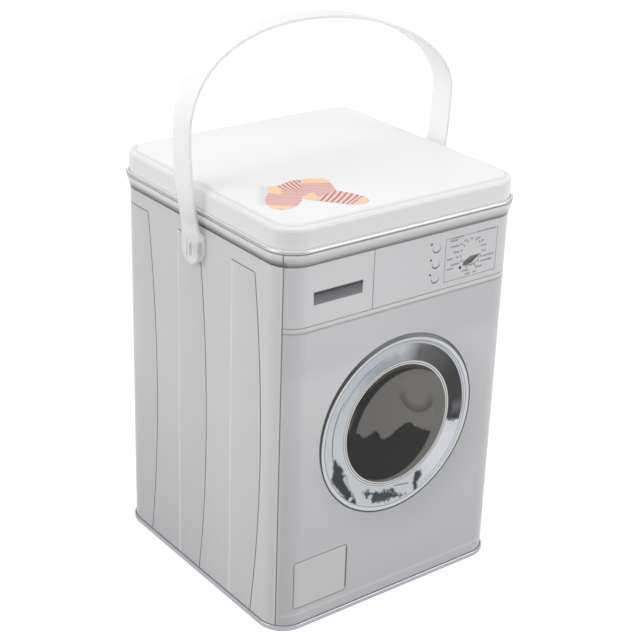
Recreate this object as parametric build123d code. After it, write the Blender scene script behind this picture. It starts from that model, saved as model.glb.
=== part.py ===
"""A square tinplate laundry box with a slip lid and a plastic carrying strap, in millimetres.

Origin at the centre of the footprint on the ground, +Z up, front face towards -Y.
A section is drawn as (outboard offset from the wall's outer face, height) and carried round the plan.
"""
import os

from build123d import *

# Plan of the tin, measured over the outside of the wall
body_width = 170.0
body_depth = 170.0
corner_radius = 16.0
sheet = 0.3

# Double seam that joins the bottom to the wall
seam_height = 3.2
seam_gap = 0.1
hook_overlap = 1.5

# Bottom panel, sunk between the seam's legs
countersink_depth = 4.2
bottom_step = 0.8
bottom_step_inset = 14.0
bottom_step_run = 2.0

# Stop bead and neck at the top of the wall
bead_foot_height = 232.3
bead_reach = 2.45
bead_rise = 7.2
bead_bend = 0.9
neck_inset = 0.2
neck_height = 12.5
hem_depth = 3.0
hem_gap = 0.1

# Slip lid
lid_clearance = 0.3
lid_seat_gap = 0.3
lid_rim_radius = 2.2
lid_ledge_width = 1.6
lid_step_run = 1.4
lid_step_height = 1.5
lid_step_bend = 0.6
lid_curl_radius = 0.85
lid_curl_turn = 300.0

# Lock seam down the back of the wall
lock_seam_width = 5.0
lock_seam_layers = 2

# Carrying strap, one moulding from pad to pad
pivot_drop = 14.8
strap_width = 16.8
strap_thickness = 1.4
pad_thickness = 4.7
pad_gap = 0.3
boss_flat = 9.0
boss_slope = 3.8
arm_bow = 5.5
arm_rise = 55.0
crown_rise_left = 94.5
crown_rise_right = 56.7

# Snap studs of the strap, in round holes in the side walls
stud_radius = 4.9
stud_clearance = 0.05
stud_slit = 2.4
barb_reach = 0.7
barb_taper = 1.2
barb_length = 3.0
barb_gap = 0.3
lens_width = 3.6
lens_height = 9.0
dish_width = 7.4
dish_height = 14.6
dish_depth = 0.5

# Heights and offsets that follow from the sizes above
shelf_height = bead_foot_height + bead_rise
neck_top = shelf_height + neck_height
skirt_offset = lid_clearance + sheet - neck_inset
ledge_height = neck_top + lid_rim_radius
panel_height = ledge_height + lid_step_height
curl_height = shelf_height + lid_seat_gap + sheet + lid_curl_radius
plate_lap = corner_radius / 2
pivot_height = bead_foot_height - pivot_drop
boss_face = body_width / 2 + pad_gap
pad_face = boss_face + pad_thickness
arm_foot = pivot_height + boss_flat + boss_slope
arm_reach = pad_face - strap_thickness / 2 + arm_bow
spring_height = arm_foot + arm_rise
CROWN_SHARE = 3 / 4  # a cubic curve tops out at three quarters of its handles' rise


def carried_round(section):
    """Carry a section round the plan: four straight sides and four revolved corners, fused."""
    spans = ((0, body_width, body_depth), (90, body_depth, body_width))
    pieces = []
    for turn, across, along in spans:
        straight = along - 2 * corner_radius
        side = extrude(section, amount=straight, dir=(0, -1, 0))
        corner = revolve(section, axis=Axis.Z, revolution_arc=90)
        place = Pos(across / 2 - corner_radius, straight / 2, 0)
        for half_turn in (0, 180):
            pieces += [Rot(0, 0, turn + half_turn) * place * piece for piece in (side, corner)]
    return pieces[0].fuse(*pieces[1:]).clean()


def moved_aside(points, bends, amount):
    """Shift straight stretches to the left, as the far face of a folded sheet lies, with its bends' radii."""
    corners = [Vector(*point) for point in points]
    ways = [(b - a).normalized() for a, b in zip(corners, corners[1:])]
    lefts = [Vector(-way.Y, way.X) for way in ways]
    mitres = [(m + n) / (1 + m.dot(n)) for m, n in zip(lefts, lefts[1:])]
    shifts = [lefts[0], *mitres, lefts[-1]]
    turns = [1 if a.cross(b).Z > 0 else -1 for a, b in zip(ways, ways[1:])]
    radii = [bend and bend - turn * amount for bend, turn in zip(bends, turns)]
    return [corner + shift * amount for corner, shift in zip(corners, shifts)], radii


def sheet_section(points, bends, left=True, curl_radius=0.0, curl_turn=0.0):
    """Section of a folded sheet from one face, sharp where a bend is 0, with a curl at its end if asked."""
    amount = sheet if left else -sheet
    back_points, back_bends = moved_aside(points, bends, amount)
    faces = [FilletPolyline(*points, radius=bends), FilletPolyline(*back_points, radius=back_bends)]
    edges = [*faces[0].edges(), *faces[1].edges(), Line(faces[0] @ 0, faces[1] @ 0)]
    if curl_turn:
        radii = (curl_radius, curl_radius - amount)
        faces = [JernArc(f @ 1, f % 1, radius=r, arc_size=curl_turn) for f, r in zip(faces, radii)]
        edges += [face.edge() for face in faces]
    edges.append(Line(faces[0] @ 1, faces[1] @ 1))
    return Plane.XZ * Pos(corner_radius, 0) * make_face(edges)


def plan_plate(inset, height):
    """A flat plate of sheet inside the plan, its top face at the given height."""
    plan = RectangleRounded(body_width - 2 * inset, body_depth - 2 * inset, corner_radius - inset)
    return Pos(0, 0, height - sheet) * extrude(plan, amount=sheet)


def make_tin_body():
    """Rolled wall with its seam hook, stop bead, hemmed neck, strap holes and lock seam."""
    hook_offset = sheet + 2 * seam_gap
    fold_height = 2 * sheet + seam_gap
    outer_face = [
        (hook_offset, fold_height + hook_overlap),
        (hook_offset, fold_height),
        (0, fold_height),
        (0, bead_foot_height),
        (bead_reach, shelf_height),
        (-neck_inset, shelf_height),
        (-neck_inset, neck_top),
        (-neck_inset - hem_gap - 2 * sheet, neck_top),
        (-neck_inset - hem_gap - 2 * sheet, neck_top - hem_depth),
    ]
    body = carried_round(sheet_section(outer_face, [0, 0, bead_bend, bead_bend, 0, 0, 0]))
    lock_bottom = countersink_depth + bottom_step
    lock_height = bead_foot_height - bead_bend - lock_bottom
    lock_align = (Align.CENTER, Align.MAX, Align.MIN)
    lock = Box(lock_seam_width, lock_seam_layers * sheet, lock_height, align=lock_align)
    body += Pos(0, body_depth / 2 - sheet, lock_bottom) * lock
    hole = Cylinder(stud_radius + stud_clearance, body_width + 2 * sheet, rotation=(0, 90, 0))
    return body - Pos(0, 0, pivot_height) * hole


def make_bottom_panel():
    """Pressed bottom, stepped and sunk, whose edge folds round the wall's hook as a double seam."""
    leg_inside = -(sheet + seam_gap)
    leg_outside = 2 * sheet + 3 * seam_gap
    hook_offset = sheet + seam_gap
    hook_top = seam_height - sheet
    step_height = countersink_depth + bottom_step
    upper_face = [
        (-bottom_step_inset - bottom_step_run, step_height),
        (-bottom_step_inset, step_height),
        (-bottom_step_inset + bottom_step_run, countersink_depth),
        (leg_inside, countersink_depth),
        (leg_inside, sheet),
        (leg_outside, sheet),
        (leg_outside, hook_top),
        (hook_offset, hook_top),
        (hook_offset, hook_top - hook_overlap),
    ]
    rim = carried_round(sheet_section(upper_face, [0] * (len(upper_face) - 2), left=False))
    return rim + plan_plate(bottom_step_inset + bottom_step_run / 2, step_height)


def make_lid():
    """Pressed slip lid: raised panel, ledge, rounded rim, skirt and a curl rolled outwards."""
    step_foot = skirt_offset - lid_rim_radius - lid_ledge_width
    step_top = step_foot - lid_step_run
    outer_face = [
        (step_top - plate_lap, panel_height),
        (step_top, panel_height),
        (step_foot, ledge_height),
        (skirt_offset, ledge_height),
        (skirt_offset, curl_height),
    ]
    bends = [lid_step_bend, lid_step_bend, lid_rim_radius]
    curl = {"curl_radius": lid_curl_radius, "curl_turn": lid_curl_turn}
    section = sheet_section(outer_face, bends, left=False, **curl)
    return carried_round(section) + plan_plate(-step_top + plate_lap / 2, panel_height)


def strap_face(aside):
    """One face of the strap in front view: the foot of the right arm, and the arms and crown as curves."""
    foot = (arm_reach - arm_bow + aside, arm_foot)
    spring = (arm_reach + aside, spring_height)
    right_arm = Bezier(foot, (spring[0], (arm_foot + spring_height) / 2), spring)
    rise = spring_height + aside / CROWN_SHARE
    crown = Bezier(
        (-spring[0], spring_height),
        (-spring[0], rise + crown_rise_left),
        (spring[0], rise + crown_rise_right),
        spring,
    )
    return foot, [mirror(right_arm, about=Plane.YZ), crown, right_arm]


def strap_band():
    """The strap with its pads and bosses: front view carried across, cut to a round-ended side view."""
    outer_foot, outer_lines = strap_face(strap_thickness / 2)
    inner_foot, inner_lines = strap_face(-strap_thickness / 2)
    pad_bottom = pivot_height - strap_width / 2
    pad_end = Polyline(
        outer_foot,
        (pad_face, pad_bottom),
        (boss_face, pad_bottom),
        (boss_face, pivot_height + boss_flat),
        inner_foot,
    )
    lines = [*outer_lines, *inner_lines, pad_end, mirror(pad_end, about=Plane.YZ)]
    front_view = Plane.XZ * make_face([edge for line in lines for edge in line.edges()])
    band = extrude(front_view, amount=strap_width / 2, both=True)
    strap_height = spring_height + crown_rise_left + crown_rise_right - pivot_height
    upright = Rectangle(strap_width, strap_height, align=(Align.CENTER, Align.MIN))
    side_view = Plane.YZ * Pos(0, pivot_height) * (upright + Circle(strap_width / 2))
    return band & extrude(side_view, amount=2 * arm_reach, both=True)


def snap_stud():
    """Right-hand stud about the X axis: a shank through the wall and a tapered barb, slit in two."""
    wall_inside = body_width / 2 - sheet
    barb_root = wall_inside - barb_gap
    tip = barb_root - barb_length
    profile = Polyline(
        (boss_face, 0),
        (boss_face, stud_radius),
        (barb_root, stud_radius),
        (barb_root, stud_radius + barb_reach),
        (tip, stud_radius + barb_reach - barb_taper),
        (tip, 0),
        close=True,
    )
    stud = revolve(Plane.XZ * make_face(profile.edges()), axis=Axis.X)
    slit_height = 2 * (stud_radius + barb_reach)
    slit_align = (Align.MAX, Align.CENTER, Align.CENTER)
    slit = Box(body_width / 2 - tip, stud_slit, slit_height, align=slit_align)
    return stud - Pos(body_width / 2, 0, 0) * slit


def lens_opening():
    """Right-hand lens-shaped opening that runs through the pad into the slit, in a shallow oval dish."""
    half = ThreePointArc((0, -lens_height / 2), (lens_width / 2, 0), (0, lens_height / 2))
    lens = make_face([*half.edges(), *mirror(half, about=Plane.YZ).edges()])
    through = extrude(Plane.YZ * lens, amount=pad_face)
    dish = extrude(Plane.YZ * Rot(0, 0, 90) * SlotOverall(dish_height, dish_width), amount=dish_depth)
    return Pos(body_width / 2, 0, 0) * through + Pos(pad_face - dish_depth, 0, 0) * dish


def make_handle():
    """Moulded carrying strap with a split snap stud and a lens-shaped opening at each end."""
    handle = strap_band()
    for end in (Rot(0, 0, 0), Rot(0, 0, 180)):
        place = Pos(0, 0, pivot_height) * end
        handle = handle + place * snap_stud() - place * lens_opening()
    return handle


os.makedirs("parts", exist_ok=True)
nodes = {
    "tin_body": make_tin_body(),
    "bottom_panel": make_bottom_panel(),
    "lid": make_lid(),
    "handle": make_handle(),
}
for name, solid in nodes.items():
    export_step(solid, f"parts/{name}.step")
    print(name, len(solid.solids()), round(solid.volume, 1), solid.bounding_box())
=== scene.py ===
# %% [markdown]
# # A printed tin with a strap handle
# The object is a square storage tin of thin steel sheet, printed all round to look like a washing
# machine, with a white slip lid and a milky plastic carrying strap. The CAD model gives every solid its
# place. This script dresses it: the sheet pieces are rebuilt as smooth surfaces with fine bends, the print
# is laid on as layers of colour worked out at each point, and the strap gets its plastic.

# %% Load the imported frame
import math
from functools import partialmethod, reduce

import bpy
import numpy as np
from mathutils import Matrix, Vector


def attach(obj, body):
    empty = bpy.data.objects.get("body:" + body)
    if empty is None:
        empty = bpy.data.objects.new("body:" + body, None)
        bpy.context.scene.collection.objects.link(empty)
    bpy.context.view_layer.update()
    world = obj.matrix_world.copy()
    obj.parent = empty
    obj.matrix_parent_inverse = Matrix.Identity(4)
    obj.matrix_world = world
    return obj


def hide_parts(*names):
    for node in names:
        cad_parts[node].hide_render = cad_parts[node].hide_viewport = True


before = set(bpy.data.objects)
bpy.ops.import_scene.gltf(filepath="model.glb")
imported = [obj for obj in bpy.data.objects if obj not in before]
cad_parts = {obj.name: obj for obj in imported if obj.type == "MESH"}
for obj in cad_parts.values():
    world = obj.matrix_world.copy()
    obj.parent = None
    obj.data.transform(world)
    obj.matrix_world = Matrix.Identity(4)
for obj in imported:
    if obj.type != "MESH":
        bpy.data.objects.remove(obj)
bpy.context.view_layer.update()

# %% [markdown]
# ## Camera
# The camera stands a little to the left of the front corner and looks down on the lid. Its place, its three
# turns and its focal length were fitted to straight edges of the tin, so the picture frame needs no shift.
# The small last turn is a tilt about the camera's own view line.

# %% Camera
camera_data = bpy.data.cameras.new("camera")
camera_data.sensor_width = 36.0
camera_data.lens = 87.21
camera = bpy.data.objects.new("camera", camera_data)
heading = Matrix.Rotation(math.radians(-37.881), 4, "Z")
looking_down = Matrix.Rotation(math.radians(90.0 - 24.347), 4, "X")
tilt = Matrix.Rotation(math.radians(1.992), 4, "Z")
camera.matrix_world = Matrix.Translation((-0.53255, -0.69166, 0.54632)) @ heading @ looking_down @ tilt
bpy.context.scene.collection.objects.link(camera)
bpy.context.scene.camera = camera
bpy.context.scene.view_settings.view_transform = "Standard"
print("camera at", tuple(round(c, 3) for c in camera.matrix_world.translation))

# %% [markdown]
# ## Putting arrays into meshes
# Every new piece is one array of points and one array of faces. This helper hands both to Blender in one
# go and measures the volume that the faces enclose: a positive volume says that they all face outwards.

# %% From arrays to a piece
def new_piece(name, points_mm, faces, smooth=True):
    """Mesh object at the origin from points in millimetres. The volume is the sum of the signed
    tetrahedra from the origin to each triangle, a sixth of the triple product of its corners."""
    mesh = bpy.data.meshes.new(name)
    mesh.from_pydata((np.asarray(points_mm) * 0.001).tolist(), [], faces)
    mesh.polygons.foreach_set("use_smooth", np.full(len(mesh.polygons), smooth))
    mesh.update()
    piece = bpy.data.objects.new(name, mesh)
    bpy.context.scene.collection.objects.link(piece)
    mesh.calc_loop_triangles()
    corners = np.empty(len(mesh.loop_triangles) * 3, int)
    mesh.loop_triangles.foreach_get("vertices", corners)
    a, b, c = np.asarray(points_mm, float)[corners.reshape(-1, 3).T]
    volume = np.einsum("ij,ij->i", a, np.cross(b, c)).sum() / 6000.0
    print(f"{name}: {len(points_mm)} points, {len(a)} triangles, encloses {volume:.3f} cm3")
    return piece

# %% [markdown]
# ## One section carried round the plan
# Wall, lid and base are all pressed or rolled from flat sheet, so each is one section carried round the
# same rounded square. Modelling by hand would mean extruding and bevelling every bend; as a formula it is
# one line: a point of the plan, plus its outward direction times the offset of the section there.

# %% Plan of the tin
BODY_HALF, CORNER, SHEET = 85.0, 16.0, 0.3
STRAIGHT = BODY_HALF - CORNER


def one_side(arc_steps=9, flat_steps=26, guard=0.4):
    """Plan of the side towards +X: half a corner, the flat, half a corner. Gives points, outward
    directions and the length run so far; the last point is left to the next side."""
    lower = np.linspace(-math.pi / 4, 0.0, arc_steps, endpoint=False)
    upper = -lower[::-1]
    even = np.linspace(-STRAIGHT, STRAIGHT, flat_steps + 1)
    flat = np.sort(np.append(even, [guard - STRAIGHT, STRAIGHT - guard]))
    angle = np.concatenate([lower, np.zeros(len(flat)), upper[:-1]])
    run_y = np.concatenate([np.full(arc_steps, -STRAIGHT), flat, np.full(arc_steps - 1, STRAIGHT)])
    outward = np.column_stack([np.cos(angle), np.sin(angle)])
    points = np.column_stack([np.full(len(angle), STRAIGHT), run_y]) + CORNER * outward
    return points, outward, run_y + CORNER * angle


def whole_plan():
    """The side turned by quarter turns: right, back, left and front. Also gives each column's side, as a
    number from 0 to 3, and its place along it."""
    points, outward, run = one_side()
    quarter_turn = np.array([[0, 1], [-1, 0]])
    turns = [np.linalg.matrix_power(quarter_turn, k) for k in range(4)]
    side = np.repeat(np.arange(4), len(points))
    return (np.vstack([points @ turn for turn in turns]), np.vstack([outward @ turn for turn in turns]),
            side, np.tile(run, 4))


PLAN, OUTWARD, SIDE, RUN = whole_plan()
SIDE_LENGTH = 2 * STRAIGHT + CORNER * math.pi / 2
print("plan:", len(PLAN), "points round,", round(SIDE_LENGTH, 1), "mm a side")

# %% Sections of folded sheet
def unit(v):
    return v / np.linalg.norm(v, axis=-1, keepdims=True)


def rounded(points, bends, steps=6):
    """Line through the points with an arc in place of each inner corner. An arc starts its radius times
    the tangent of half the turn before the corner, and turns about a centre one radius to the side."""
    p = np.array(points, float)
    before, after = unit(p[1:-1] - p[:-2]), unit(p[2:] - p[1:-1])
    turn = np.arctan2(before[:, 0] * after[:, 1] - before[:, 1] * after[:, 0], (before * after).sum(1))
    radius = np.maximum(bends, 0.04)
    start = p[1:-1] - before * (radius * np.tan(np.abs(turn) / 2))[:, None]
    centre = start + np.column_stack([-before[:, 1], before[:, 0]]) * (np.sign(turn) * radius)[:, None]
    return np.vstack([p[:1], turned(start - centre, turn, steps, centre).reshape(-1, 2), p[-1:]])


def turned(arm, turn, steps, centre):
    """Arms swung about their centres by shares of the turn, from none to all of it."""
    swing = np.atleast_1d(turn)[:, None] * np.linspace(0.0, 1.0, steps + 1)
    x, y = np.atleast_2d(arm)[:, :1], np.atleast_2d(arm)[:, 1:]
    swung = np.stack([np.cos(swing) * x - np.sin(swing) * y, np.sin(swing) * x + np.cos(swing) * y], -1)
    return np.atleast_2d(centre)[:, None] + swung


def far_face(points, bends, amount):
    """Corners and bends of the sheet's other face: each corner moves to the left along its mitre."""
    p = np.array(points, float)
    way = unit(np.diff(p, axis=0))
    left = np.column_stack([-way[:, 1], way[:, 0]])
    mitre = (left[:-1] + left[1:]) / (1 + (left[:-1] * left[1:]).sum(1))[:, None]
    turn = np.sign(way[:-1, 0] * way[1:, 1] - way[:-1, 1] * way[1:, 0])
    return p + np.vstack([left[:1], mitre, left[-1:]]) * amount, np.array(bends) - turn * amount


def curled(line, radius, turn, steps=22):
    """Adds an arc that goes on from the line's end, to the left for a positive turn in degrees."""
    way = unit(line[-1] - line[-2])
    centre = line[-1] + np.array([-way[1], way[0]]) * radius * np.sign(turn)
    return np.vstack([line, turned(line[-1] - centre, math.radians(turn), steps, centre)[0, 1:]])


def filled(line, longest, guard=0.3):
    """Adds points on long stretches, and a guard point close to each end so that flats shade flat."""
    run = np.concatenate([[0.0], np.cumsum(np.linalg.norm(np.diff(line, axis=0), axis=1))])
    gap = np.diff(run)
    wide = gap > 4 * guard
    even = np.arange(longest, run[-1], longest)
    slot = np.searchsorted(run, even) - 1
    clear = (gap[slot] > longest) & (even - run[slot] > 2 * guard) & (run[slot + 1] - even > 2 * guard)
    stops = np.unique(np.concatenate([run, run[:-1][wide] + guard, run[1:][wide] - guard, even[clear]]))
    return np.column_stack([np.interp(stops, run, line[:, k]) for k in (0, 1)])

# %% [markdown]
# ## The wall
# The wall is one strip of printed sheet, bent round and locked down the back. From the bottom up it has
# the hook inside the base seam, the tall flat, the stop bead that the lid sits on, the neck and a folded
# hem. Thin sheet is never quite flat, so the flats get a swell of about a tenth of a millimetre: it is
# too small to see as shape, but it makes reflections waver as they do on a real tin.

# %% Wall surface
def carried(section, swell=0.0):
    """Grid of points: plan point plus outward direction times the section's offset, at its height."""
    offset = section[:, :1] + np.zeros(len(PLAN)) + swell
    flat = PLAN[None] + OUTWARD[None] * offset[..., None]
    height = np.broadcast_to(section[:, 1:], offset.shape)
    return np.concatenate([flat, height[..., None]], axis=2)


def band_faces(rows, columns):
    """Quads between neighbouring rows, each row closed on itself, wound to face the section's right."""
    row, column = np.meshgrid(np.arange(rows - 1), np.arange(columns), indexing="ij")
    near, across = row * columns + column, row * columns + (column + 1) % columns
    return np.stack([near, across, across + columns, near + columns], -1).reshape(-1, 4)


def wall_swell(section):
    """Sum of three slow waves along the side and the height, faded out near corners, base and bead."""
    height, along = section[:, 1][:, None], (RUN + 61.0 * SIDE)[None]
    wave = (np.sin(along / 23.0 + height / 61.0) + 0.7 * np.sin(along / 41.0 - height / 34.0 + 1.7)
            + 0.5 * np.sin(along / 15.0 + height / 90.0 + 0.6))
    flat = np.clip((STRAIGHT - 4.0 - np.abs(RUN)) / 22.0, 0.0, 1.0)[None]
    tall = np.clip((height - 8.0) / 30.0, 0.0, 1.0) * np.clip((206.0 - height) / 30.0, 0.0, 1.0)
    return 0.11 * wave * flat * tall


WALL_LINE = [(0.5, 2.2), (0.5, 0.7), (0, 0.7), (0, 232.3), (2.45, 239.5), (-0.2, 239.5), (-0.2, 252.0),
             (-0.9, 252.0), (-0.9, 249.0)]
WALL_BENDS = [0.15, 0.15, 0.9, 0.9, 0.3, 0.35, 0.35]
LONGEST = 6.0
wall_out = filled(rounded(WALL_LINE, WALL_BENDS), LONGEST)
wall_in = filled(rounded(*far_face(WALL_LINE, WALL_BENDS, SHEET)), LONGEST)[::-1]
wall_section = np.vstack([wall_out, wall_in, wall_out[:1]])
wall_grid = carried(wall_section, wall_swell(wall_section))
wall_rows, wall_columns = wall_grid.shape[:2]
wall_faces = band_faces(wall_rows, wall_columns) % ((wall_rows - 1) * wall_columns)
tin_wall = new_piece("tin_wall", wall_grid[:-1].reshape(-1, 3), wall_faces.tolist())

# %% [markdown]
# The print is sharpest on the front, so the wall brings its own map for the baked picture: the outside of
# the front takes half of the map's width, the other three sides a quarter each, the inside what is left.

# %% Map of the wall
MAP_OUTSIDE = [(0.505, 0.395, 0.235), (0.75, 0.005, 0.235), (0.505, 0.005, 0.235), (0.005, 0.005, 0.49)]
MAP_INSIDE = [(0.75, 0.395, 0.115), (0.87, 0.395, 0.115), (0.75, 0.6, 0.115), (0.87, 0.6, 0.115)]


def map_wall(mesh):
    """Each face lies at its run along the side and along the section, scaled into its side's field."""
    gap = np.linalg.norm(np.diff(wall_section, axis=0), axis=1)
    run_up = np.concatenate([[0.0], np.cumsum(gap)])
    row, column = np.meshgrid(np.arange(wall_rows - 1), np.arange(wall_columns), indexing="ij")
    inner = row >= len(wall_out)
    field = np.array(MAP_OUTSIDE + MAP_INSIDE)[SIDE[column] + 4 * inner]
    ends = np.append(RUN, -SIDE_LENGTH / 2)
    last = SIDE[(column + 1) % wall_columns] != SIDE[column]
    left, right = ends[column], np.where(last, SIDE_LENGTH / 2, ends[column + 1])
    low, high = (run_up[row + k] - np.where(inner, run_up[len(wall_out)], 0.0) for k in (0, 1))
    across = np.stack([left, right, right, left], -1) + SIDE_LENGTH / 2
    up = np.stack([low, low, high, high], -1)
    scale = field[..., 2:] / SIDE_LENGTH
    places = np.stack([field[..., :1] + across * scale, field[..., 1:2] + up * scale], -1)
    layer = mesh.uv_layers.new(name="OFBake")
    layer.data.foreach_set("uv", places.reshape(-1))
    print("wall map: from", places.min((0, 1, 2)).round(3), "to", places.max((0, 1, 2)).round(3))


map_wall(tin_wall.data)

# %% [markdown]
# The strap's studs pass through a round hole in each side wall. A Boolean with a plain cylinder cuts both
# at once, and the cut mesh takes the place of the first one.

# %% Stud holes
HOLE_RADIUS, PIVOT_HEIGHT = 4.95, 217.5


def closed_body(name, rings, start, end):
    """Rings of points joined row by row, and closed by a fan of triangles to a point at either end."""
    count = rings.shape[1]
    points = np.vstack([rings.reshape(-1, 3), [start, end]])
    spot, last = np.arange(count), (len(rings) - 1) * count
    following = (spot + 1) % count
    fans = np.vstack([np.column_stack([np.full(count, len(points) - 2), following, spot]),
                      np.column_stack([np.full(count, len(points) - 1), spot + last, following + last])])
    return new_piece(name, points, band_faces(len(rings), count).tolist() + fans.tolist())


def drum(name, radius, height, half_length=90.0, steps=48):
    """Cylinder along X: the same circle in Y and Z at both ends, each closed to its middle."""
    turn = np.linspace(0.0, 2 * math.pi, steps, endpoint=False)
    circle = np.column_stack([np.cos(turn), np.sin(turn)]) * radius + [0.0, height]
    ends = (-half_length, half_length)
    rings = np.stack([np.column_stack([np.full(steps, x), circle]) for x in ends])
    return closed_body(name, rings, *([x, 0.0, height] for x in ends))


def cut_away(piece, cutter):
    """Applies a Boolean difference to the piece's own mesh and removes the cutter."""
    tool = piece.modifiers.new("holes", "BOOLEAN")
    tool.operation, tool.solver, tool.object = "DIFFERENCE", "EXACT", cutter
    graph = bpy.context.evaluated_depsgraph_get()
    cut = bpy.data.meshes.new_from_object(piece.evaluated_get(graph))
    piece.modifiers.clear()
    old, piece.data = piece.data, cut
    cut.name = old.name
    bpy.data.meshes.remove(old)
    bpy.data.objects.remove(cutter)
    print(piece.name, "after the cut:", len(cut.polygons), "faces")


cut_away(tin_wall, drum("hole_drum", HOLE_RADIUS, PIVOT_HEIGHT))

# %% [markdown]
# ## Fields and inks
# A print on tin is made of fields of ink with clean edges. Here an ink's place is a number worked out at
# each point of the surface from its Object coordinates: 1 inside, 0 outside, with a soft edge between. The
# small class lets such numbers be written as sums, and each sum becomes a Math node of the material. The
# signs | and & take the larger and the smaller of two numbers, which joins two masks or keeps their overlap.

# %% Numbers that live in a material
class Field:
    """A number, vector or colour known at every point of a surface, held by a node's output socket."""

    def __init__(self, tree, socket):
        self.tree, self.socket = tree, socket

    def math(self, operation, *others, clamp=False):
        node = self.tree.nodes.new("ShaderNodeMath")
        node.operation, node.use_clamp = operation, clamp
        plug(self.tree, node.inputs, (self, *others))
        return Field(self.tree, node.outputs[0])

    __add__ = partialmethod(math, "ADD")
    __sub__ = partialmethod(math, "SUBTRACT")
    __mul__ = partialmethod(math, "MULTIPLY")
    __or__ = partialmethod(math, "MAXIMUM")
    __and__ = partialmethod(math, "MINIMUM")
    size = partialmethod(math, "ABSOLUTE")

    def share(self, start, end):
        """0 at the start value, 1 at the end value, straight between and held beyond."""
        return self.math("MULTIPLY_ADD", 1.0 / (end - start), -start / (end - start), clamp=True)


def plug(tree, sockets, values):
    """Links each field to its socket, or sets a plain number or colour on it."""
    for socket, value in zip(sockets, values):
        if isinstance(value, Field):
            tree.links.new(value.socket, socket)
        else:
            socket.default_value = value


def finish(tree, node, values):
    """The same for inputs given by their names."""
    plug(tree, [node.inputs[name] for name in values], values.values())


def parts_of(vector):
    """The three numbers of a vector, each as a field of its own."""
    node = vector.tree.nodes.new("ShaderNodeSeparateXYZ")
    plug(vector.tree, node.inputs, [vector])
    return [Field(vector.tree, output) for output in node.outputs]

# %% Masks
def inside(distance, soft=0.3):
    """1 where a signed distance is below 0, 0 where it is above, over a soft edge in millimetres."""
    return distance.share(soft / 2, -soft / 2)


def beyond(value, edge, soft=0.3):
    """1 where a value is above an edge, 0 where it is below."""
    return value.share(edge - soft / 2, edge + soft / 2)


def past(value, start, end):
    """How far a value is past the nearer end of a stretch, below 0 within it."""
    return (value - (start + end) / 2).size() - (end - start) / 2


def between(value, start, end, soft=0.3):
    """1 where a value lies from start to end."""
    return inside(past(value, start, end), soft)


def reach(across, up):
    """Length of the way that goes so far across and so far up."""
    return (across * across + up * up).math("SQRT")


class Place:
    """The point's own coordinates in millimetres, and shapes measured from them on one plane."""

    def __init__(self, tree, plane):
        self.tree = tree
        self.coordinates = Field(tree, tree.nodes.new("ShaderNodeTexCoord").outputs["Object"])
        self.x, self.y, self.z = (part * 1000.0 for part in parts_of(self.coordinates))
        self.u, self.v = (getattr(self, axis) for axis in plane)

    def from_point(self, u, v):
        """Distance from a point of the plane."""
        return reach(self.u - u, self.v - v)

    def from_box(self, left, right, low, high):
        """Signed distance from a box: the larger of the two distances past its edges."""
        return past(self.u, left, right) | past(self.v, low, high)

    def from_round_box(self, left, right, low, high, radius):
        """Signed distance from a box with round corners: the length of what is past the inner box."""
        across, up = (past(self.u, left, right) + radius) | 0.0, (past(self.v, low, high) + radius) | 0.0
        return reach(across, up) - radius

    def from_drop(self, start, end, radius_start, radius_end):
        """Distance from a stretch whose half width runs from one radius to the other."""
        way = np.subtract(end, start)
        ahead = way / (way @ way)
        du, dv = self.u - start[0], self.v - start[1]
        share = (du * ahead[0] + dv * ahead[1]).share(0.0, 1.0)
        du, dv = du - share * way[0], dv - share * way[1]
        return reach(du, dv) - (share * (radius_end - radius_start) + radius_start)

    def noise(self, per_metre, detail=2.0, roughness=0.5):
        """Smooth noise from -0.5 to 0.5, with so many bumps to the metre."""
        node = self.tree.nodes.new("ShaderNodeTexNoise")
        finish(self.tree, node, {"Vector": self.coordinates, "Scale": per_metre, "Detail": detail,
                                 "Roughness": roughness})
        return Field(self.tree, node.outputs["Fac"]) - 0.5

# %% Inks and varnish
def ink(*levels):
    """Linear colour from red, green and blue from 0 to 255 as they are seen; one level gives a grey."""
    seen = np.array(levels * 3 if len(levels) == 1 else levels, float) / 255.0
    linear = np.where(seen < 0.04045, seen / 12.92, ((seen + 0.055) / 1.055) ** 2.4)
    return (*linear.tolist(), 1.0)


class Print:
    """Coats of ink, and of painted shade and light, on a ground colour, laid one over the other."""

    def __init__(self, tree, ground):
        self.tree, self.colour = tree, ground

    def lay(self, where, colour):
        mix = self.tree.nodes.new("ShaderNodeMix")
        mix.data_type = "RGBA"
        plug(self.tree, [mix.inputs[k] for k in (0, 6, 7)], (where, self.colour, colour))
        self.colour = Field(self.tree, mix.outputs[2])


def new_material(name):
    material = bpy.data.materials.new(name)
    material.use_nodes = True
    return material, material.node_tree, material.node_tree.nodes["Principled BSDF"]


def fine_bump(tree, shader, height, depth_mm, strength):
    """Bump from a height field, with its depth given in millimetres."""
    bump = tree.nodes.new("ShaderNodeBump")
    finish(tree, bump, {"Strength": strength, "Distance": depth_mm * 0.001, "Height": height})
    tree.links.new(bump.outputs[0], shader.inputs["Normal"])
    return bump


def lacquered(tree, shader, place, coats):
    """Printed sheet: matt ink under a clear, hard varnish with a faint skin like orange peel."""
    rough = place.noise(160.0, 4.0) * 0.10 + 0.40
    finish(tree, shader, {"Base Color": coats.colour, "Roughness": rough, "Specular IOR Level": 0.05,
                          "Coat Weight": 0.35, "Coat Roughness": 0.07, "Coat IOR": 1.5})
    bump = fine_bump(tree, shader, place.noise(700.0, 1.0), 0.05, 0.15)
    tree.links.new(bump.outputs[0], shader.inputs["Coat Normal"])

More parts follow.
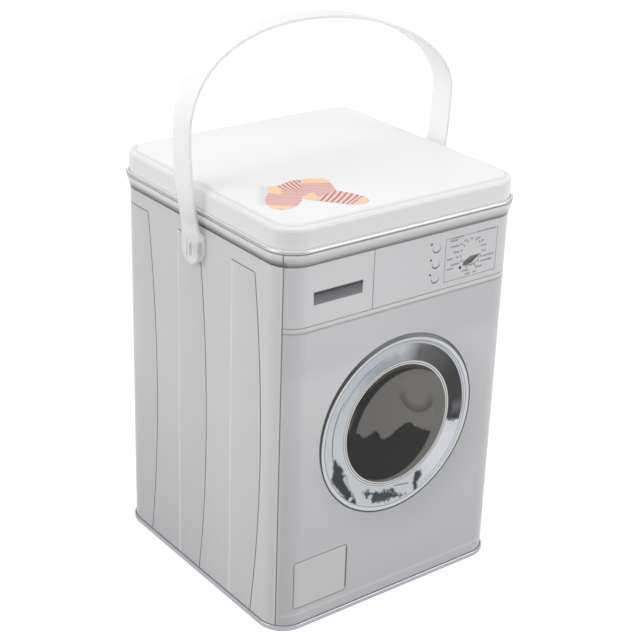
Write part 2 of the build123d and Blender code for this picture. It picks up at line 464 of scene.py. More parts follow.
# %% [markdown]
# ## Floor, world and lamps
# The tin stands on white paper under soft studio light. The paper is a pale plane that keeps the tin's
# shadow. The Light Path node makes the surroundings white where they are seen, also in a reflection or
# through the plastic. As light on the tin they are weaker, so a colour renders about as it is written.

# %% Stage
def seen_directly(tree):
    """1 for rays from the camera, a glossy reflection or a clear body, otherwise 0."""
    path = tree.nodes.new("ShaderNodeLightPath")
    return reduce(Field.__or__, [Field(tree, path.outputs[f"Is {kind} Ray"])
                                 for kind in ("Camera", "Glossy", "Transmission")])


def make_world(light):
    """White world: strength 1 where it is seen, the given strength where it only lights the tin."""
    world = bpy.data.worlds.new("white_room")
    world.use_nodes = True
    tree = world.node_tree
    strength = seen_directly(tree) * (1.0 - light) + light
    finish(tree, tree.nodes["Background"], {"Color": ink(255), "Strength": strength})
    bpy.context.scene.world = world


def make_floor(half, drop, glow):
    """Pale plane just under the tin, with a little glow of its own where it is seen."""
    corners = np.array([[-1, -1, 0], [1, -1, 0], [1, 1, 0], [-1, 1, 0]]) * half
    floor = new_piece("paper_floor", corners - [0, 0, drop], [(0, 1, 2, 3)], smooth=False)
    paper, tree, shader = new_material("white_paper")
    finish(tree, shader, {"Base Color": (0.5, 0.5, 0.5, 1.0), "Roughness": 0.9, "Specular IOR Level": 0.0,
                          "Emission Color": ink(255), "Emission Strength": seen_directly(tree) * glow})
    floor.data.materials.append(paper)


def make_lamp(name, place, aim, size, power):
    """Square area lamp at a place, turned to face a point, both in metres."""
    data = bpy.data.lights.new(name, "AREA")
    data.size, data.energy = size, power
    lamp = bpy.data.objects.new(name, data)
    lamp.location = place
    lamp.rotation_euler = (Vector(aim) - Vector(place)).to_track_quat("-Z", "Y").to_euler()
    bpy.context.scene.collection.objects.link(lamp)


make_world(light=0.50)
make_floor(half=6000.0, drop=0.05, glow=0.70)
make_lamp("top_softbox", (-0.1, 0.1, 1.7), aim=(0.0, 0.0, 0.2), size=1.4, power=8.6)
make_lamp("left_softbox", (-1.85, 0.4, 0.9), aim=(0.0, 0.0, 0.15), size=1.2, power=13.6)
make_lamp("front_softbox", (1.2, -1.6, 0.9), aim=(0.0, 0.0, 0.15), size=1.2, power=16.8)

# %% [markdown]
# ## The front: a washing machine door
# The door is the eye-catcher of the print: a chrome bowl round dark glass. Real chrome would mirror the
# room; this is only a picture of chrome, so light and dark sectors are laid on by their clock angle and
# distance from the middle, and noise frays the edges of the dark reflections.

# %% Door inks
DOOR_X, DOOR_Z = -0.6, 116.8
DOOR_EDGE, LIP_EDGE, CHROME_EDGE, FRAME_EDGE, GLASS_EDGE = 57.3, 56.3, 54.2, 40.2, 37.7


def lay_door(coats, place):
    """Rings by distance r from the door's middle, sectors by clock angle from twelve o'clock."""
    r = place.from_point(DOOR_X, DOOR_Z)
    clock = (place.u - DOOR_X).math("ARCTAN2", place.v - DOOR_Z) * (180.0 / math.pi)
    fray = place.noise(160.0, 3.0, 0.6)
    coats.lay(inside(place.from_point(9.0, 106.0) - 58.0, 26.0) * 0.35, ink(158, 161, 166))
    lean = ((clock + 20.0) * (math.pi / 180.0)).math("COSINE") | 0.0
    coats.lay(inside(r - DOOR_EDGE, 0.5), ink(70, 70, 73))
    coats.lay(inside(r - (DOOR_EDGE - 0.8), 0.5) & between(clock, 15.0, 120.0, 30.0), ink(128, 129, 132))
    coats.lay(inside(r - (lean * -2.2 + LIP_EDGE), 0.5), ink(229, 230, 232))
    leaning = r + lean * 1.6
    coats.lay(inside(leaning - CHROME_EDGE, 0.5), ink(160, 163, 169))
    lay_chrome(coats, place, r, clock, fray, inside(leaning - (CHROME_EDGE - 0.6), 0.5))
    coats.lay(inside(r - FRAME_EDGE), ink(96, 98, 102))
    coats.lay(inside(r - (FRAME_EDGE - 0.3)), ink(232))
    coats.lay(between(r, 38.4, 39.1, 0.5), ink(150, 147, 142))
    lay_glass(coats, place, r)


def lay_chrome(coats, place, r, clock, fray, bowl):
    """Light ground, bluish to the upper left, with the dark reflections of a room laid over it."""
    coats.lay(bowl, ink(214, 219, 225))
    coats.lay(bowl & between(clock, -64.0, 4.0, 50.0), ink(199, 205, 213))
    coats.lay(inside(r + fray * 7.0 - 46.0, 5.0) & between(clock, -36.0, 8.0, 24.0), ink(168, 174, 184))
    coats.lay(bowl & between(clock, 106.0, 150.0, 16.0), ink(232, 234, 242))
    coats.lay(between(r, 51.8, 52.3, 0.4) & between(clock, 0.0, 150.0, 20.0), ink(150, 153, 159))
    wide = inside(r - 50.9, 0.5)
    end = inside(clock + fray * 10.0 - 103.0, 3.0)
    coats.lay(wide & clock.share(2.0, 18.0) & end, ink(100, 100, 101))
    coats.lay(wide & (clock + fray * 20.0).share(24.0, 62.0) & end, ink(54, 54, 55))
    coats.lay(between(r, 44.5, 50.5, 4.0) & between(clock, 89.0, 96.0, 8.0) * 0.8, ink(116, 117, 119))
    coats.lay(between(r, 47.6, 48.3, 0.5) & between(clock, -103.0, -60.0, 10.0), ink(112, 117, 122))
    coats.lay(between(r, 46.0, 46.5, 0.6) & between(clock, -60.0, -18.0, 12.0), ink(140, 147, 157))
    blot = (place.from_drop((-46.2, 106.0), (-43.4, 94.0), 0.8, 5.0)
            & place.from_drop((-43.4, 94.0), (-31.0, 73.0), 5.0, 1.8)) + fray * 6.0
    glint = place.from_drop((-38.6, 92.0), (-34.4, 83.0), 1.3, 0.7) + fray * 2.0
    coats.lay(inside(blot, 1.8) & bowl, ink(58, 59, 61))
    coats.lay(inside(glint, 0.9), ink(196, 202, 208))
    coats.lay(inside(place.from_point(-33.0, 76.6) - 1.3 + fray * 4.0, 0.9), ink(214, 218, 222))
    smears = place.noise(230.0, 3.0, 0.6) * 12.0
    low = (place.from_drop((-22.0, 77.0), (-15.0, 74.0), 1.6, 2.4)
           & place.from_drop((-14.0, 71.0), (-4.0, 69.0), 4.6, 3.6)
           & place.from_drop((-2.0, 68.0), (9.0, 65.2), 1.6, 0.9))
    coats.lay(inside(low + smears, 2.4) & bowl, ink(66, 70, 75))
    figure = (place.from_drop((18.6, 76.0), (16.4, 71.5), 2.6, 1.9)
              & place.from_drop((16.4, 71.5), (17.6, 66.5), 1.5, 0.8)) + fray * 5.0
    coats.lay(inside(figure, 1.6) & bowl, ink(58, 60, 63))
    coats.lay(inside(place.from_drop((0.0, 74.5), (11.0, 72.8), 0.35, 0.35), 0.4), ink(112, 116, 120))


SKYLINE = [(-37.0, 121.0), (-30.0, 119.0), (-25.0, 115.0), (-21.0, 115.6), (-17.4, 117.3), (-14.5, 114.8),
           (-10.5, 110.0), (-3.3, 111.8), (2.0, 114.3), (8.6, 115.1), (13.6, 111.2), (26.5, 104.0),
           (37.0, 98.0)]
SKY_LEFT, SKY_LOW, SKY_WIDTH, SKY_RISE = -37.0, 95.0, 74.0, 30.0


def skyline_height(place):
    """Height of the skyline over the place across the door, kept as a Float Curve of shares from 0 to 1."""
    node = place.tree.nodes.new("ShaderNodeFloatCurve")
    curve = node.mapping.curves[0]
    shares = ((np.array(SKYLINE) - [SKY_LEFT, SKY_LOW]) / [SKY_WIDTH, SKY_RISE]).tolist()
    for across, height in shares[1:-1]:
        curve.points.new(across, height)
    curve.points[0].location, curve.points[-1].location = shares[0], shares[-1]
    node.mapping.update()
    finish(place.tree, node, {"Value": place.u.share(SKY_LEFT, SKY_LEFT + SKY_WIDTH)})
    return Field(place.tree, node.outputs[0]) * SKY_RISE + SKY_LOW


def lay_glass(coats, place, r):
    """Dark glass with a lighter room in its upper half, a wavy skyline and a round lamp."""
    glass = inside(r - GLASS_EDGE)
    coats.lay(glass, ink(22, 22, 23))
    above = place.v - skyline_height(place) + place.noise(420.0, 2.0) * 2.4
    room = inside(place.from_point(4.6, 113.0) - 36.6, 1.4) & beyond(above, 0.0, 1.8)
    rim_light = beyond(place.from_point(-4.5, 114.4), 33.0, 1.2)
    right = beyond(place.u + (place.v - 117.0) * 0.45, -34.0, 2.0)
    coats.lay(glass & room, ink(109, 108, 106))
    coats.lay(glass & room & place.u.share(-25.0, 30.0), ink(117, 114, 109))
    coats.lay(glass & rim_light & right & inside(place.v - 126.0, 20.0), ink(113, 111, 108))
    upper_edge = beyond(r, 35.6, 1.6) & beyond(place.v, 146.0, 6.0)
    coats.lay(glass & upper_edge, ink(74, 66, 60))
    beside = place.u - 13.6
    upwards = place.v - 132.8 + beside * 0.45
    lamp = (beside * beside * 0.78 + upwards * upwards).math("SQRT") - 12.4
    coats.lay(glass & inside(lamp, 2.0), ink(116, 114, 110))
    dark_edge = inside(lamp, 1.4) & lamp.share(-6.0, 0.0) & upwards.share(2.0, -8.0)
    coats.lay(glass & dark_edge, ink(78, 77, 75))

# %% [markdown]
# ## The front: panel, drawer, buttons and dial
# Above the door runs a control panel with a powder drawer, three push buttons and a programme dial. They
# are flat ink too. The dial's scale is a set of short bars whose edges are frayed by a fine noise, as the
# dots of a printing screen fray a small mark.

# %% Panel inks
BUTTONS = [(21.6, 222.8), (21.6, 213.2), (21.7, 204.1)]
DIAL_X, DIAL_Z = 48.7, 213.9
SCALE_BARS = [(31.6, 42.1, 226.3), (31.7, 37.7, 224.7), (32.4, 38.8, 221.0), (39.6, 41.4, 221.2),
              (35.0, 39.1, 217.1), (37.0, 38.6, 213.8), (30.2, 34.0, 213.6), (33.1, 39.8, 209.7),
              (30.4, 35.5, 207.4), (41.5, 47.1, 204.1), (44.7, 48.6, 201.7), (50.9, 53.2, 201.8),
              (52.5, 57.5, 204.4), (51.7, 66.7, 226.5), (47.5, 49.1, 223.3), (52.0, 55.0, 222.8),
              (55.9, 58.1, 220.3), (57.8, 60.1, 217.1), (58.2, 60.4, 213.7), (58.2, 66.4, 210.4),
              (56.5, 65.1, 207.4), (42.7, 44.6, 223.0)]


def lay_panel(coats, place):
    """Joint under the panel, which ends at the corner joints: a dark line, a light strip, a soft shade."""
    front = inside(place.x.size() + place.y - 2.4)
    coats.lay(beyond(place.z, 196.0) & front & place.x.share(-80.0, 60.0) * 0.6, ink(222, 222, 224))
    coats.lay(place.z.share(160.0, 194.0) & inside(place.z - 194.0) & front * 0.3, ink(190, 191, 194))
    coats.lay(between(place.z, 193.4, 195.8, 0.8) & front, ink(222, 222, 223))
    coats.lay(between(place.z, 192.4, 193.4, 1.0) & front, ink(170, 171, 174))
    coats.lay(between(place.z, 195.82, 196.38, 0.4) & front, ink(150, 151, 154))


def lay_drawer(coats, place):
    """Recess of the powder drawer, dark at its top, and the line between it and the rest of the panel."""
    coats.lay(inside(place.from_box(-24.3, -23.7, 196.0, 232.4)), ink(150, 151, 154))
    drawer = inside(place.from_box(-65.3, -31.6, 208.1, 215.6), 0.6)
    coats.lay(drawer, ink(134, 134, 136))
    coats.lay(drawer & place.v.share(208.6, 215.4), ink(86, 86, 88))
    coats.lay(inside(place.from_box(-65.3, -31.6, 214.2, 215.7), 1.0), ink(70, 70, 72))


def lay_buttons(coats, place):
    """Push buttons: a pale disc whose lower edge is a dark crescent, each with a small lamp."""
    for across, height in BUTTONS:
        disc = inside(place.from_point(across, height) - 3.05, 0.5)
        coats.lay(disc & place.v.share(height + 2.6, height - 2.2), ink(92, 93, 97))
        coats.lay(inside(place.from_point(across, height + 0.55) - 2.75, 0.7), ink(219, 219, 221))
        coats.lay(inside(place.from_point(across - 4.0, height + 3.0) - 0.7, 0.4), ink(72, 73, 77))


def lay_dial(coats, place):
    """Dial: box, scale bars, ticks at sixteenths of a turn but for top and bottom, knob and its grip."""
    outline = inside(place.from_box(28.5, 68.3, 200.0, 226.5).size() - 0.2, 0.4)
    gaps = (place.from_box(30.5, 43.4, 225.0, 228.0) & place.from_box(50.6, 67.3, 225.0, 228.0)
            & place.from_box(49.2, 50.4, 199.0, 201.0))
    coats.lay(outline & beyond(gaps, 0.0), ink(146, 147, 150))
    bars = reduce(Field.__and__, [place.from_box(left, right, height - 0.5, height + 0.5)
                                  for left, right, height in SCALE_BARS])
    coats.lay(inside(bars + place.noise(1500.0, 1.0) * 1.1, 0.5) * 0.68, ink(112, 113, 118))
    r = place.from_point(DIAL_X, DIAL_Z)
    turn = (place.u - DIAL_X).math("ARCTAN2", place.v - DIAL_Z) * (16.0 / (2 * math.pi))
    aside = (turn - turn.math("ROUND")).size() * (2 * math.pi * 8.5 / 16.0)
    off_top = beyond((place.u - DIAL_X).size(), 2.0, 0.4)
    coats.lay(inside(aside - 0.45) & between(r, 8.05, 8.95) & off_top, ink(112, 113, 117))
    coats.lay(inside(r - 7.5, 0.4) & place.v.share(DIAL_Z + 2.0, DIAL_Z - 7.0), ink(132, 133, 136))
    coats.lay(inside(place.from_point(DIAL_X, DIAL_Z + 0.45) - 7.2, 0.6), ink(218, 218, 217))
    grip = (place.from_drop((44.6, 208.8), (48.6, 210.2), 1.6, 2.1)
            & place.from_drop((48.6, 210.2), (55.3, 212.2), 2.1, 0.1))
    coats.lay(inside(grip - 0.25, 0.5), ink(150, 150, 153))
    coats.lay(inside(grip, 0.8), ink(126, 126, 128))
    coats.lay(inside(grip + 0.4, 1.2) & inside(place.v - place.u * 0.31 - 195.6, 2.2), ink(84, 84, 87))
    coats.lay(inside(place.from_point(40.6, 206.7) - 0.95, 0.4), ink(34, 34, 36))

# %% [markdown]
# Low on the front are a filter flap and a kick strip. The print's joints run on round the corners, where
# a thin dark line shows where front and side panel of the machine would meet. Beside it, painted shade
# darkens the front's curved edge and a faint painted highlight lies on the side.

# %% Front material
def lay_ground_and_base_shade(coats, place, tone, low):
    """Ground that is a little uneven, with painted shade that darkens it towards the base."""
    coats.lay(place.noise(9.0, 1.0).share(-0.2, 0.25) * 0.35, tone)
    # Painted shade: the wall grows darker towards the base, by the share low.
    coats.lay(place.z.share(130.0, 8.0) * low, ink(170, 170, 173))


def lay_base_and_bead_shading(coats, place, foot, fade):
    """Painted shade and light on all sides: a shaded line above the base, the bead's dark foot and its
    highlight.
    """
    # Painted shade in the crease just above the base seam.
    coats.lay(inside(place.z - 3.5, 0.4), ink(172, 172, 175))
    # Painted shade at the bead's foot in the colour foot, then a painted highlight up the bead, a little
    # darker at its top.
    coats.lay(place.z.share(231.4, 232.0), foot)
    coats.lay(place.z.share(232.4, 232.4 + fade), ink(206, 206, 204))
    coats.lay(place.z.share(235.0, 238.0), ink(238, 238, 236))
    coats.lay(place.z.share(238.4, 239.4) * 0.6, ink(204, 204, 203))


def lay_corner(coats, place):
    """Joint near the middle of the front corners, where x and y are about as far out as each other. The
    front panel's curved edge beside it is in shade."""
    from_joint = place.x.size() + place.y
    near = inside(place.y + 60.0) & inside(place.z - 231.4)
    shade = from_joint.share(-17.0, -2.0) & inside(from_joint - 2.4) & near
    coats.lay(shade * 0.22, ink(182, 182, 186))
    # Painted highlight: a faint light strip on the side, just beyond the joint.
    coats.lay(between(from_joint, 3.5, 4.5, 0.8) & near * 0.4, ink(228))
    coats.lay(between(from_joint, 2.18, 3.02, 0.6) & inside(place.y + 60.0), ink(112, 113, 116))


def front_material():
    material, tree, shader = new_material("printed_front_and_painted_light")
    place = Place(tree, "xz")
    coats = Print(tree, ink(213, 213, 215))
    lay_ground_and_base_shade(coats, place, ink(206, 206, 209), 0.26)
    # Painted light: the upper left of the front is made a little lighter.
    coats.lay(place.u.share(40.0, -50.0) & place.v.share(110.0, 190.0) * 0.85, ink(226, 226, 228))
    flap = place.from_round_box(-73.0, -34.3, 14.0, 46.0, 2.2)
    coats.lay(inside(flap + 0.7, 0.5) * 0.4, ink(222, 222, 223))
    coats.lay(inside(flap.size() - 0.26, 0.4), ink(126, 127, 130))
    coats.lay(inside(place.from_box(-35.1, -34.2, 16.5, 44.0), 0.5), ink(98, 99, 102))
    coats.lay(between(place.z, 9.1, 10.9, 1.6) * 0.5, ink(226, 226, 227))
    for lay in (lay_door, lay_panel, lay_drawer, lay_buttons, lay_dial):
        lay(coats, place)
    lay_base_and_bead_shading(coats, place, ink(128, 128, 130), 2.4)
    lay_corner(coats, place)
    lacquered(tree, shader, place, coats)
    print("printed_front_and_painted_light:", len(tree.nodes), "nodes")
    return material

# %% [markdown]
# ## The sides: pressed ribs
# A machine's side panel is stiffened by pressed ribs. The print shows three on each side: a straight light
# edge and a dark edge that bows out half-way up, repeated along the panel by taking the remainder of the
# place by the pitch. The back is left plain; the wall is locked together there, and the seam shows.

# %% Side material
RIB_PITCH, RIB_TOP = 55.4, 222.5


def lay_ribs(coats, place):
    """Rib edges from the remainder of y by the pitch; the bow is a parabola of the height."""
    flank = beyond(place.x.size(), 79.5, 0.4)
    rise = (place.z - 113.0) * (1.0 / 109.5)
    bow = (rise * rise).math("MULTIPLY_ADD", -8.0, 8.0)
    along = (place.y * -1.0 + 76.0).math("FLOORED_MODULO", RIB_PITCH)
    whole = inside(place.y - 77.5, 0.4) & beyond(place.y, -68.0, 0.4)
    on_side = flank & inside(place.z - RIB_TOP)
    dark = along - bow - 22.7
    raised = beyond(along, 0.0) & inside(dark)
    coats.lay((raised & on_side & whole) * along.share(0.0, 26.0) * 0.25, ink(192, 192, 195))
    coats.lay(between(along, 0.1, 1.1, 0.6) & on_side & whole * 0.8, ink(232, 232, 233))
    coats.lay(between(dark, -0.42, 0.42, 0.5) & on_side & whole, ink(104, 105, 109))
    top = between(place.z, RIB_TOP - 0.35, RIB_TOP + 0.35, 0.4)
    coats.lay(top & raised & whole & flank, ink(120, 121, 124))


def side_material():
    material, tree, shader = new_material("printed_sides_and_painted_light")
    place = Place(tree, "yz")
    coats = Print(tree, ink(213, 213, 214))
    lay_ground_and_base_shade(coats, place, ink(206, 206, 208), 0.45)
    # Painted light: each side is made lighter towards its front end.
    coats.lay(place.y.share(30.0, -70.0) * 0.5, ink(224))
    lay_ribs(coats, place)
    lay_panel(coats, place)
    lay_base_and_bead_shading(coats, place, ink(92, 92, 95), 3.8)
    lay_corner(coats, place)
    seam = beyond(place.y, 84.0)
    coats.lay(between(place.x, 2.28, 2.72, 0.4) & seam, ink(128, 129, 132))
    coats.lay(between(place.x, -2.6, 2.2, 0.6) & seam * 0.5, ink(190, 190, 192))
    lacquered(tree, shader, place, coats)
    print("printed_sides_and_painted_light:", len(tree.nodes), "nodes")
    return material

# %% [markdown]
# ## Bare tin
# Inside, and along the rolled edges, the sheet is not printed. Tinplate is a soft grey metal with a fine
# grain from rolling, so the noise for its gloss is stretched along one direction by a Mapping node. The
# inside of a tin carries a dull clear lacquer, which leaves only half of a metal's mirror.

# %% Tinplate material
def tin_material(name, colour, rough, metal=1.0):
    material, tree, shader = new_material(name)
    place = Place(tree, "xz")
    stretch = tree.nodes.new("ShaderNodeMapping")
    finish(tree, stretch, {"Vector": place.coordinates, "Scale": (1.0, 1.0, 0.06)})
    place.coordinates = Field(tree, stretch.outputs[0])
    grain = place.noise(900.0, 3.0, 0.6)
    coats = Print(tree, colour)
    coats.lay(grain.share(0.0, 0.4) * 0.2, tuple(0.85 * c for c in colour[:3]) + (1.0,))
    finish(tree, shader, {"Base Color": coats.colour, "Roughness": grain * 0.18 + rough, "Metallic": metal})
    fine_bump(tree, shader, grain, 0.01, 0.1)
    return material


bare_tin = tin_material("bare_tin", ink(222, 222, 220), rough=0.46, metal=0.5)

# %% Dress the wall
PRINT_FOOT, NECK_FOOT, NECK_FACE = 2.4, 240.0, 84.2


def face_values(mesh, what):
    """Middle or normal of each face, one row to a face."""
    values = np.empty(len(mesh.polygons) * 3)
    mesh.polygons.foreach_get(what, values)
    return values.reshape(-1, 3)


middle = face_values(tin_wall.data, "center") * 1000.0
depth = np.abs(middle[:, :2]).max(1)
outwards = (face_values(tin_wall.data, "normal")[:, :2] * middle[:, :2]).sum(1)
printed = (outwards > 0.0) & (middle[:, 2] > PRINT_FOOT) & (middle[:, 2] < NECK_FOOT)
printed |= (outwards >= 0.0) & (middle[:, 2] >= NECK_FOOT) & (depth > NECK_FACE)
is_front = -middle[:, 1] > np.abs(middle[:, 0])
for dress in (front_material(), side_material(), bare_tin):
    tin_wall.data.materials.append(dress)
wall_index = np.where(printed, np.where(is_front, 0, 1), 2)
tin_wall.data.polygons.foreach_set("material_index", wall_index.astype(np.int32))
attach(tin_wall, "tin")
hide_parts("tin_body")
print("wall faces: front, sides, bare", np.bincount(wall_index))

# %% [markdown]
# ## Base and lid
# Both are pressed from one piece of sheet, so the section runs from the middle of the panel out to the
# folded or rolled edge and back along the other face. Near the middle the plan simply shrinks, down to one
# point on each face, where a fan of triangles closes the surface.

# %% Pressed panels
def pressed(name, far_line, near_line, shares=8):
    """Section from the middle of the far face out to the edge and back along the near face. The panel is
    the plan at the section's first offset, shrunk towards the middle in even shares."""
    grid = carried(np.vstack([far_line, near_line[::-1]]))
    share = np.linspace(0.0, 1.0, shares, endpoint=False)[1:, None, None]
    shrink = share * [1.0, 1.0, 0.0] + [0.0, 0.0, 1.0]
    rings = np.concatenate([grid[:1] * shrink, grid, grid[-1:] * shrink[::-1]])
    return closed_body(name, rings, *([0.0, 0.0, height] for height in grid[[0, -1], 0, 2]))


BASE_LINE = [(-15.5, 5.0), (-14, 5.0), (-12, 4.2), (-0.4, 4.2), (-0.4, 0.3), (0.9, 0.3), (0.9, 2.9),
             (0.4, 2.9), (0.4, 1.4)]
BASE_BENDS = [0.8, 0.8, 0.9, 0.25, 0.3, 0.3, 0.2]
BASE_GUARD = 0.2
base_near = filled(rounded(BASE_LINE, BASE_BENDS), LONGEST, BASE_GUARD)
base_far = filled(rounded(*far_face(BASE_LINE, BASE_BENDS, -SHEET)), LONGEST, BASE_GUARD)
base_shell = pressed("base_shell", base_far, base_near)
base_shell.data.materials.append(tin_material("seam_tin", ink(172, 170, 177), rough=0.34))
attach(base_shell, "tin")
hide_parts("bottom_panel")

LID_LINE = [(-12.8, 255.7), (-4.8, 255.7), (-3.4, 254.2), (0.4, 254.2), (0.4, 240.95)]
LID_BENDS = [0.6, 0.6, 2.2]
CURL_RADIUS, CURL_TURN, BEND_STEPS = 0.85, 300.0, 10
lid_bent = rounded(LID_LINE, LID_BENDS, BEND_STEPS)
lid_near = filled(curled(lid_bent, CURL_RADIUS, CURL_TURN), LONGEST)
lid_bent = rounded(*far_face(LID_LINE, LID_BENDS, -SHEET), BEND_STEPS)
lid_far = filled(curled(lid_bent, CURL_RADIUS + SHEET, CURL_TURN), LONGEST)
lid_shell = pressed("lid_shell", lid_far, lid_near)
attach(lid_shell, "lid")
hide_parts("lid")

# %% [markdown]
# ## Lid finish
# The lid is coated white all over its outside, and only the lower half of its rolled edge is left bright.
# White lacquer is not one flat tone: it has a slight mottle and the same faint orange peel as the wall.
# Painted shade darkens the outer band round the top, the skirt and a thin line at the foot of the step.

# %% White lacquer
def lid_material():
    material, tree, shader = new_material("white_lacquer_and_painted_shade")
    place = Place(tree, "xy")
    coats = Print(tree, ink(243))
    coats.lay(place.noise(14.0, 3.0).share(-0.1, 0.4) * 0.5, ink(241, 241, 242))
    from_wall = place.from_round_box(-BODY_HALF, BODY_HALF, -BODY_HALF, BODY_HALF, CORNER)
    # Painted shade on the outer band round the top.
    painted_shoulder_shade = beyond(from_wall, -4.2, 1.0) & beyond(place.z, 252.4, 1.0)
    coats.lay(painted_shoulder_shade * 0.6, ink(230, 230, 231))
    # Painted shade on the skirt below the top.
    coats.lay(inside(place.z - 252.0, 1.5) * 0.6, ink(235, 235, 237))
    # Painted shade in a thin line along the foot of the step.
    coats.lay(between(from_wall, -3.65, -2.95, 0.8) * 0.6, ink(210, 210, 212))
    cast = place.from_drop((-69.5, -46.0), (-56.0, -27.0), 1.0, 1.0)
    coats.lay(inside(cast - 1.0, 9.0) & beyond(place.z, 255.0) * 0.45, ink(206, 206, 209))
    lacquered(tree, shader, place, coats)
    return material


ROLL_FACE, ROLL_MIDDLE = 0.42, 241.85
lid_middle, lid_normal = face_values(lid_shell.data, "center") * 1000.0, face_values(lid_shell.data, "normal")
beyond_flats = np.maximum(np.abs(lid_middle[:, :2]) - STRAIGHT, 0.0)
off_wall = np.linalg.norm(beyond_flats, axis=1) - CORNER
rolled = (off_wall > ROLL_FACE) & (lid_middle[:, 2] < ROLL_MIDDLE)
lid_out = (lid_normal[:, 2] > 0.2) | ((lid_normal[:, :2] * lid_middle[:, :2]).sum(1) > 0.2)
for dress in (lid_material(), bare_tin, tin_material("bright_edge", ink(178, 178, 177), rough=0.36)):
    lid_shell.data.materials.append(dress)
lid_index = np.where(rolled, 2, np.where(lid_out, 0, 1))
lid_shell.data.polygons.foreach_set("material_index", lid_index.astype(np.int32))
print("lid faces: white, bare, rolled", np.bincount(lid_index))

# %% [markdown]
# ## The socks on the lid
# A pair of striped socks is printed on the lid. Each is a bent band between two edges that run from cuff to
# toe. An edge is a smooth line through a few stations, so a point is a station number along the sock and a
# share across it. Both are kept as an attribute, because stripes follow the sock and not the lid. The band
# is a flat, closed tube a few hundredths of a millimetre high on the lacquer, like thick ink.

# %% Sock bands
def through(stations, spot):
    """Smooth line through stations: a cubic between neighbours, whose slope at each station is half the
    way from the one before to the one after."""
    p = np.array(stations, float)
    slope = np.gradient(p, axis=0)
    k = np.minimum(spot.astype(int), len(p) - 2)
    s = (spot - k)[:, None]
    rise = s * s * (3 - 2 * s)
    bend = s * (1 - s) ** 2 * slope[k] - s * s * (1 - s) * slope[k + 1]
    return (1 - rise) * p[k] + rise * p[k + 1] + bend


def sock(name, left, right, cuff_middle, toe_tip, height, steps=90, round_steps=40):
    """Flat tube between two edges: their middle, plus half of the way across times the cosine of the angle
    round the tube, plus a small rise times its sine. A fan of triangles closes cuff and toe."""
    spot = np.linspace(0.0, len(left) - 1.0, steps)
    left_edge, right_edge = through(left, spot), through(right, spot)
    middle, arm = (left_edge + right_edge) / 2, (left_edge - right_edge) / 2
    turn = np.linspace(0.0, 2 * math.pi, round_steps, endpoint=False)
    flat = middle[:, None] + arm[:, None] * np.cos(turn)[:, None]
    rise = np.broadcast_to(height + 0.02 * np.sin(turn), flat.shape[:2])
    rings = np.concatenate([flat, rise[..., None]], 2)
    piece = closed_body(name, rings, [*cuff_middle, height], [*toe_tip, height])
    shares = np.zeros((len(piece.data.vertices), 3))
    shares[:-2, 0], shares[-1, 0] = np.repeat(spot, round_steps), len(left)
    shares[:-2, 1] = np.tile(np.cos(turn), steps)
    piece.data.attributes.new("along", "FLOAT_VECTOR", "POINT").data.foreach_set("vector", shares.ravel())
    return piece


def knit_material(name, cuff, heel, foot, toe, heel_side):
    """Peach yarn. The leg has fine mauve ribs across it. The foot has wide stripes, closer together on the
    heel's side, where the sock is longer. Cuff, toe and one side of the heel stay peach. Places are station
    numbers along the sock, and shares from -1 to 1 across it."""
    material, tree, shader = new_material(name)
    place = Place(tree, "xy")
    own = tree.nodes.new("ShaderNodeAttribute")
    own.attribute_name = "along"
    station, across, _ = parts_of(Field(tree, own.outputs["Vector"]))
    peach, mauve = ink(253, 208, 170), ink(160, 116, 126)
    coats = Print(tree, ink(240, 192, 182))
    ribs = (station * 2.7).math("FRACT") - 0.5
    coats.lay(inside(ribs.size() - 0.2, 0.24) * 0.8, ink(188, 138, 144))
    to_heel = across * heel_side
    slant = station - to_heel * 0.9
    on_foot = beyond(slant, foot, 0.2)
    coats.lay(on_foot, ink(250, 200, 184))
    stripe = (station * 1.8 + to_heel * (station * 0.7 - 6.2)).math("FRACT") - 0.5
    coats.lay(on_foot & inside(stripe.size() - 0.19, 0.14), mauve)
    patch = beyond(to_heel, 0.3, 0.12) & between(slant, heel - 0.75, heel + 0.75, 0.1)
    ends = inside(station - cuff, 0.1) | beyond(station, toe, 0.1)
    coats.lay(patch | ends, peach)
    coats.lay(place.noise(900.0, 2.0).share(0.0, 0.5) * 0.2, ink(236, 180, 156))
    lacquered(tree, shader, place, coats)
    return material


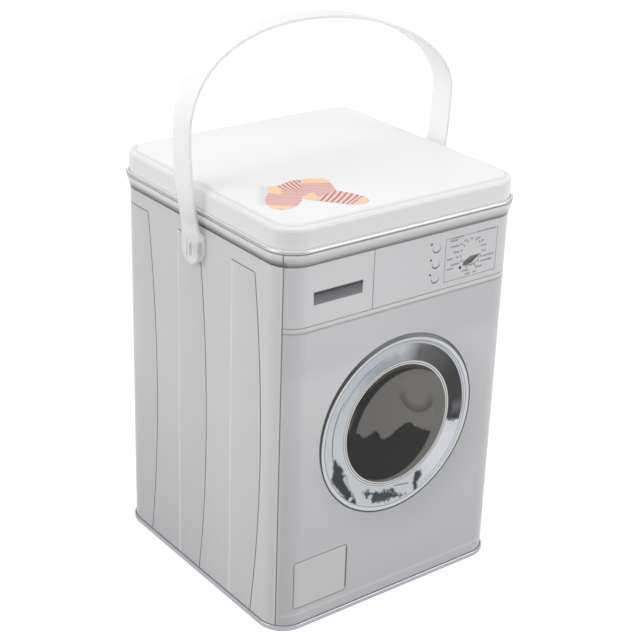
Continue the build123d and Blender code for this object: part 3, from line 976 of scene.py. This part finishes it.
SOCK_HEIGHT = 255.75
UNDER_LEFT = [(-72.2, -53.6), (-70.7, -47.8), (-68.5, -42.5), (-64.7, -38.2), (-59.9, -33.4), (-54.0, -25.5),
              (-47.0, -26.1), (-39.1, -23.9), (-32.6, -23.9), (-29.5, -27.0)]
UNDER_RIGHT = [(-63.2, -60.0), (-58.6, -58.2), (-51.1, -52.8), (-46.4, -47.6), (-41.8, -44.2), (-40.4, -43.2),
               (-38.6, -42.6), (-36.2, -41.6), (-32.2, -38.7), (-29.5, -33.0)]
OVER_LEFT = [(-19.2, -29.8), (-18.7, -32.9), (-20.3, -39.1), (-22.9, -45.0), (-24.7, -49.4), (-23.0, -53.1),
             (-21.3, -56.5), (-19.8, -60.0), (-18.4, -63.8), (-17.7, -66.0), (-18.0, -69.4)]
OVER_RIGHT = [(-26.5, -24.8), (-31.4, -26.1), (-35.3, -30.4), (-39.3, -37.3), (-44.0, -44.3), (-48.3, -51.3),
              (-44.0, -57.3), (-39.4, -63.2), (-34.6, -68.9), (-30.2, -73.1), (-25.0, -75.3)]
sock_under = sock("sock_under", UNDER_LEFT, UNDER_RIGHT, (-69.1, -58.7), (-28.5, -30.5), SOCK_HEIGHT)
under_knit = knit_material("knit_under", cuff=0.9, heel=4.0, foot=4.75, toe=9.2, heel_side=1.0)
sock_over = sock("sock_over", OVER_LEFT, OVER_RIGHT, (-22.6, -27.0), (-20.0, -73.2), SOCK_HEIGHT + 0.04)
over_knit = knit_material("knit_over", cuff=1.9, heel=4.3, foot=5.0, toe=8.9, heel_side=-1.0)
for band, knit in ((sock_under, under_knit), (sock_over, over_knit)):
    band.data.materials.append(knit)
    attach(band, "lid")

# %% [markdown]
# ## The carrying strap
# The strap is one moulding of milky polypropylene: light goes in, scatters and comes out again, so it
# takes the tone of whatever is behind it. A Principled surface is met twice, on the way in and on the way
# out. The Backfacing output tells them apart, so that the light scatters only on the way in. The CAD shape
# is right and stays. The Bevel node rounds the look of its sharp edges, and the mould left a fine grain.

# %% Plastic of the strap
def strap_material():
    material, tree, shader = new_material("milky_plastic")
    place = Place(tree, "xz")
    coats = Print(tree, ink(255))
    coats.lay(place.noise(60.0, 3.0).share(-0.1, 0.4) * 0.4, ink(251, 251, 252))
    leaving = Field(tree, tree.nodes.new("ShaderNodeNewGeometry").outputs["Backfacing"])
    rough = place.noise(300.0, 3.0) * 0.12 + 0.40
    finish(tree, shader, {"Base Color": coats.colour, "Roughness": rough, "IOR": 1.49,
                          "Transmission Weight": leaving | 0.38})
    bump = fine_bump(tree, shader, place.noise(1100.0, 2.0), 0.03, 0.25)
    bevel = tree.nodes.new("ShaderNodeBevel")
    bevel.inputs["Radius"].default_value = 0.0005
    tree.links.new(bevel.outputs[0], bump.inputs["Normal"])
    return material


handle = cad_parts["handle"]
handle.data.materials.clear()
handle.data.materials.append(strap_material())
print("strap:", len(handle.data.polygons), "faces")
